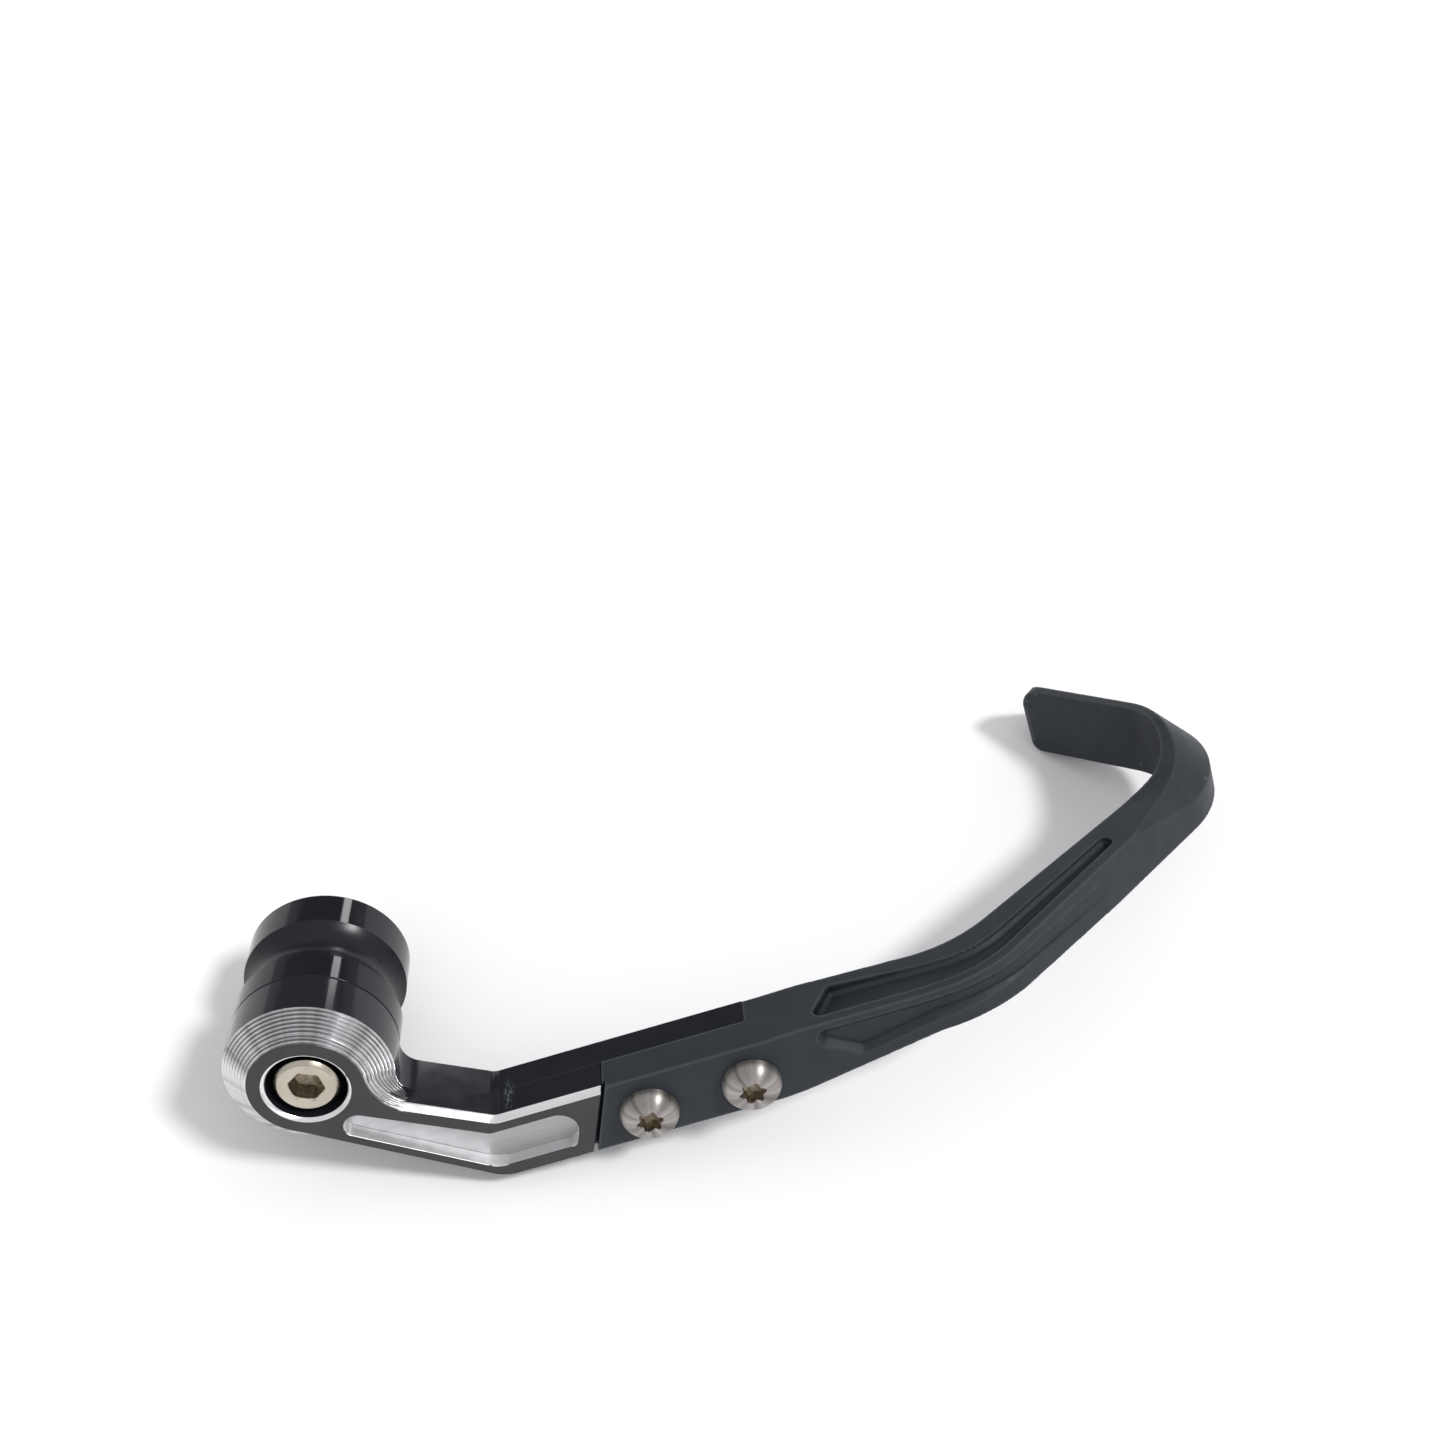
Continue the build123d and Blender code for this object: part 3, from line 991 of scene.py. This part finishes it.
@dataclass
class BarEndBarrel(Part):
    """Turned spacer between the arm and the handlebar."""

    node: str = "bar_end_barrel"
    piece_name: str = "bar_end_barrel_turned"
    sharp: float = 25.0
    sides: int = 192
    radius: float = 17.0
    neck_radius: float = 14.5
    bore_radius: float = 4.25
    boss_radius: float = 12.85
    band: float = 7.0
    neck: float = 11.0
    neck_steps: int = 24
    neck_gap: float = 0.05
    chamfer: float = 0.4
    chamfer_round: float = 0.12
    rim_round: float = 0.22
    boss_foot_round: float = 0.1
    boss_round: float = 0.25
    start: float = 14.0
    end: float = 40.4
    seat: float = 43.0

    def profile(self) -> tuple[Profile, range]:
        """Draws the barrel's section.

        Returns:
            The profile from the bore at the arm round to the bore at the seat, and the rows of
            faces in the neck.
        """
        band_end = self.start + self.band
        hollow = []
        for step in range(self.neck_steps + 1):
            share = step / self.neck_steps
            rise = (self.radius - self.neck_radius) * (2 * share - 1) ** 2
            hollow.append((self.neck_radius + rise, band_end + self.neck * share))
        first = eased(
            (
                (self.bore_radius, self.start, 0.0),
                (self.radius - self.chamfer, self.start, self.chamfer_round),
                (self.radius, self.start + self.chamfer, self.chamfer_round),
                (self.radius, band_end - self.neck_gap, 0.0),
            )
        )
        last = eased(
            (
                (self.radius, band_end + self.neck + self.neck_gap, 0.0),
                (self.radius, self.end, self.rim_round),
                (self.boss_radius, self.end, self.boss_foot_round),
                (self.boss_radius, self.seat, self.boss_round),
                (self.bore_radius, self.seat, 0.0),
            )
        )
        return first + hollow + last, range(len(first) - 1, len(first) + len(hollow))

    def mesh(self) -> bmesh.types.BMesh:
        """Turns the barrel.

        Returns:
            The mesh, with its through bore.
        """
        stack = RingStack(self.sides)
        profile, hollow = self.profile()
        stack.turn(profile)
        mesh = bmesh.new()
        stack.skin(mesh, capped=False, marked=hollow)
        return mesh

    def dress(self) -> list[bpy.types.Material]:
        """Returns the finishes of the barrel and of its neck."""
        return [GLOSS_BLACK.make(), HOLLOW_BLACK.make()]


@dataclass
class BarBolt(Part):
    """Socket head bolt with the thread that goes into the bar."""

    node: str = "bar_bolt"
    piece_name: str = "bar_bolt_threaded"
    sharp: float = 45.0
    sides: int = 96
    head_radius: float = 6.5
    head_top: float = 0.6
    head_height: float = 8.0
    head_chamfer: float = 0.8
    head_rounds: Triple = (0.5, 0.3, 0.2)
    face_radius: float = 4.0
    hexagon: float = 6.0
    hexagon_depth: float = 4.0
    drill_depth: float = 0.9
    mouth_share: float = 1.13
    mouth_start: float = 0.03
    mouth_depth: float = 0.5
    shank_radius: float = 3.6
    thread_radius: float = 4.0
    thread_depth: float = 0.62
    pitch: float = 1.25
    crest: float = 0.08
    flank: float = 0.34
    run_in: float = 0.9
    rows_per_turn: int = 16
    thread_start: float = 43.5
    end: float = 57.1
    end_chamfer: float = 1.0

    def thread(self, angle: float, along: float) -> float:
        """Gives the radius of the threaded end.

        Args:
            angle: Angle about the axis.
            along: Y in millimetres.

        Returns:
            The radius in millimetres.
        """
        phase = ((along - self.thread_start) / self.pitch - angle / (2 * math.pi)) % 1.0
        fall = min(max((abs(phase - 0.5) - self.crest) / self.flank, 0.0), 1.0)
        radius = self.thread_radius - self.thread_depth * fall
        tip = self.thread_radius - max(along - (self.end - self.end_chamfer), 0.0)
        start = self.shank_radius + max(along - self.thread_start, 0.0) * self.run_in
        return min(radius, tip, start)

    def head(self) -> Profile:
        """Draws the head and the shank.

        Returns:
            The profile from the head's face to the start of the thread.
        """
        under = self.head_top + self.head_height
        top, side, foot = self.head_rounds
        return eased(
            (
                (self.face_radius, self.head_top, 0.0),
                (self.head_radius - self.head_chamfer, self.head_top, top),
                (self.head_radius, self.head_top + self.head_chamfer, side),
                (self.head_radius, under, foot),
                (self.shank_radius, under, foot),
                (self.shank_radius, self.thread_start, 0.0),
            )
        )

    def mesh(self) -> bmesh.types.BMesh:
        """Stacks the recess, the head and the thread.

        Returns:
            The bolt's mesh.
        """
        stack = RingStack(self.sides)
        bottom = self.head_top + self.hexagon_depth
        for share, along in (
            (POINT_SHARE, bottom + self.drill_depth),
            (1.0, bottom),
            (1.0, self.head_top + self.mouth_depth),
            (self.mouth_share, self.head_top + self.mouth_start),
        ):
            stack.add(recess(Socket.HEXAGON, self.hexagon, share), along)
        stack.turn(self.head())
        length = self.end - self.thread_start
        rows = int(length / self.pitch * self.rows_per_turn)
        for row in range(1, rows + 1):
            along = self.thread_start + length * row / rows
            stack.add(lambda angle, along=along: self.thread(angle, along), along)
        mesh = bmesh.new()
        stack.skin(mesh, marked=range(2))
        return mesh

    def dress(self) -> list[bpy.types.Material]:
        """Returns the finishes of the bolt and of its recess."""
        return [NICKEL.make(), RECESS.make()]


@dataclass
class BladeScrews(Part):
    """The two domed screws that hold the blade to the tongue."""

    node: str = "blade_screws"
    piece_name: str = "blade_screws_domed"
    sharp: float = 40.0
    sides: int = 96
    places: tuple[float, float] = (61.3, 82.9)
    height: float = -29.85
    head_radius: float = 6.0
    head_height: float = 3.5
    dome_steps: int = 12
    rim: float = 0.9
    rim_foot: float = 0.3
    rim_round: float = 0.15
    flat_radius: float = 3.1
    recess_width: float = 5.4
    drill_depth: float = 0.4
    mouth_share: float = 1.06
    mouth_depth: float = 0.3
    shank_radius: float = 3.0
    end: float = 13.5
    end_chamfer: float = 0.6

    def dome(self) -> Profile:
        """Draws the domed head.

        Returns:
            The profile from its flat top to its rim.
        """
        points = []
        for step in range(self.dome_steps + 1):
            t = step / self.dome_steps * math.pi / 2
            radius = self.flat_radius + (self.head_radius - self.flat_radius) * math.sin(t)
            points.append((radius, -self.rim - (self.head_height - self.rim) * math.cos(t)))
        return points

    def shank(self) -> Profile:
        """Draws the rim and the shank.

        Returns:
            The profile from the rim to the end of the screw.
        """
        return eased(
            (
                (self.head_radius, -self.rim_foot, 0.0),
                (self.head_radius, 0.0, self.rim_round),
                (self.shank_radius, 0.0, 0.0),
                (self.shank_radius, self.end - self.end_chamfer, 0.0),
                (self.shank_radius - self.end_chamfer, self.end, 0.0),
            )
        )

    def mesh(self) -> bmesh.types.BMesh:
        """Stacks both screws.

        Returns:
            One mesh with the two of them.
        """
        mesh = bmesh.new()
        for x in self.places:
            stack = RingStack(self.sides, (x, self.height))
            for share, along in (
                (POINT_SHARE, self.drill_depth - self.rim),
                (1.0, -self.rim),
                (1.0, self.mouth_depth - self.head_height),
                (self.mouth_share, -self.head_height),
            ):
                stack.add(recess(Socket.SIX_LOBE, self.recess_width, share), along)
            stack.turn(self.dome())
            stack.turn(self.shank())
            stack.skin(mesh, marked=range(2))
        return mesh

    def dress(self) -> list[bpy.types.Material]:
        """Returns the finishes of the screws and of their recesses."""
        return [STAINLESS.make(), RECESS.make()]


# ---------------------------------------------------------------- studio


def vector_field(x: float, y: float, z: float) -> Vector:
    """Gives a class a field that starts as a vector."""
    return field(default_factory=lambda: Vector((x, y, z)))


def posed(spot: Vector, x: Vector, y: Vector, z: Vector) -> Matrix:
    """Returns the matrix that puts an object at a spot, with its axes along three directions."""
    return Matrix.Translation(spot) @ Matrix((x, y, z)).transposed().to_4x4()


@dataclass
class Studio:
    """Pale table, soft light and camera."""

    table_normal: Vector = vector_field(0.2175, -0.4024, 0.8893)
    table_size: float = 6.0
    table_colour: Colour = (0.93, 0.93, 0.935)
    table_roughness: float = 0.9
    table_specular: float = 0.1
    key_direction: Vector = vector_field(0.683, -0.472, 0.558)
    key_strength: float = 1.75
    key_angle: float = 9.0
    strip_direction: Vector = vector_field(0.398, 0.801, 0.448)
    strip_across: Vector = vector_field(-0.748, 0.0, 0.664)
    strip_size: tuple[float, float] = (0.12, 0.21)
    strip_power: float = 0.7
    sky_front: Colour = (0.74, 0.74, 0.75)
    sky_back: Colour = (0.20, 0.20, 0.22)
    sky_rim: Colour = (0.90, 0.90, 0.91)
    sky_back_rim: Colour = (0.48, 0.48, 0.50)
    back_range: Range = (0.25, 0.65)
    rim_range: Range = (-0.16, -0.08)
    eye: Vector = vector_field(0.13163, -0.29847, 0.20937)
    eye_right: Vector = vector_field(0.952307, -0.071344, -0.296685)
    eye_up: Vector = vector_field(0.289008, 0.522855, 0.801933)
    lens: float = 43.0
    sensor: float = 36.0
    sight: Range = (0.01, 50.0)

    def table(self) -> None:
        """Lays the table top, which touches the guard from below."""
        normal = self.table_normal.normalized()
        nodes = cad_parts.values()
        lowest = min(normal.dot(vert.co) for node in nodes for vert in node.data.vertices)
        mesh = bmesh.new()
        bmesh.ops.create_grid(mesh, x_segments=1, y_segments=1, size=self.table_size / 2)
        turn = normal.to_track_quat("Z", "Y").to_matrix().to_4x4()
        mesh.transform(Matrix.Translation(normal * lowest) @ turn)
        data = bpy.data.meshes.new("table")
        mesh.to_mesh(data)
        mesh.free()
        data.materials.append(self.table_finish())
        table = shown("table", data)

    def table_finish(self) -> bpy.types.Material:
        """Makes the pale table's finish.

        Returns:
            The material, which is clear from its underside.
        """
        sheet = NodeSheet("pale_table")
        sheet.set(
            Base_Color=(*self.table_colour, 1.0),
            Roughness=self.table_roughness,
            Specular_IOR_Level=self.table_specular,
        )
        clear = sheet.add("ShaderNodeBsdfTransparent")
        side = sheet.add("ShaderNodeNewGeometry")
        path = sheet.add("ShaderNodeLightPath")
        below = sheet.calc("MULTIPLY", side.outputs["Backfacing"], path.outputs["Is Camera Ray"])
        mix = sheet.add("ShaderNodeMixShader")
        sources = (below, sheet.shader.outputs["BSDF"], clear.outputs["BSDF"])
        for target, source in zip(mix.inputs, sources):
            sheet.link(source, target)
        sheet.link(mix.outputs["Shader"], sheet.output.inputs["Surface"])
        return sheet.material

    def sky(self) -> None:
        """Makes the pale room, white round the horizon and dim at the back."""
        world = bpy.data.worlds.new("pale_room")
        bpy.context.scene.world = world
        world.use_nodes = True
        graph = Graph(world.node_tree)
        output = graph.add("ShaderNodeOutputWorld")
        background = graph.add("ShaderNodeBackground")
        way = graph.add("ShaderNodeTexCoord").outputs["Generated"]
        back = graph.lean(way, Vector(ALONG_Y), self.back_range)
        above = graph.mix(back, self.sky_front, self.sky_back)
        rim = graph.mix(back, self.sky_rim, self.sky_back_rim)
        low = graph.lean(way, -self.table_normal.normalized(), self.rim_range)
        graph.link(graph.mix(low, above, rim), background.inputs["Color"])
        graph.link(background.outputs["Background"], output.inputs["Surface"])

    def lamps(self) -> None:
        """Hangs the soft key lamp and the narrow strip behind the guard."""
        key = bpy.data.lights.new("key", "SUN")
        key.energy = self.key_strength
        key.angle = math.radians(self.key_angle)
        shown("key", key).rotation_euler = self.key_direction.to_track_quat("Z", "Y").to_euler()
        strip = bpy.data.lights.new("strip", "AREA")
        strip.shape = "RECTANGLE"
        strip.size, strip.size_y = self.strip_size
        strip.energy = self.strip_power
        away = self.strip_direction.normalized()
        across = self.strip_across.normalized()
        shown("strip", strip).matrix_world = posed(away, across, away.cross(across), away)

    def camera(self) -> None:
        """Sets the camera at the photograph's viewing angle."""
        data = bpy.data.cameras.new("camera")
        data.sensor_width = self.sensor
        data.lens = self.lens
        data.clip_start, data.clip_end = self.sight
        camera = shown("camera", data)
        back = self.eye_right.cross(self.eye_up)
        camera.matrix_world = posed(self.eye, self.eye_right, self.eye_up, back)
        bpy.context.scene.camera = camera

    def build(self) -> None:
        """Puts up the table, the room, the lamps and the camera."""
        bpy.context.scene.view_settings.view_transform = "Standard"
        self.table()
        self.sky()
        self.lamps()
        self.camera()


def main() -> None:
    """Builds the guard piece by piece, then the studio."""
    logging.basicConfig(level=logging.INFO, format="%(message)s")
    for part in (HubArm(), GuardBlade(), BarEndBarrel(), BarBolt(), BladeScrews()):
        piece = part.build()
        LOG.info("%s: %d faces for %s", piece.name, len(piece.data.polygons), part.node)
    Studio().build()


if __name__ == "__main__":
    main()
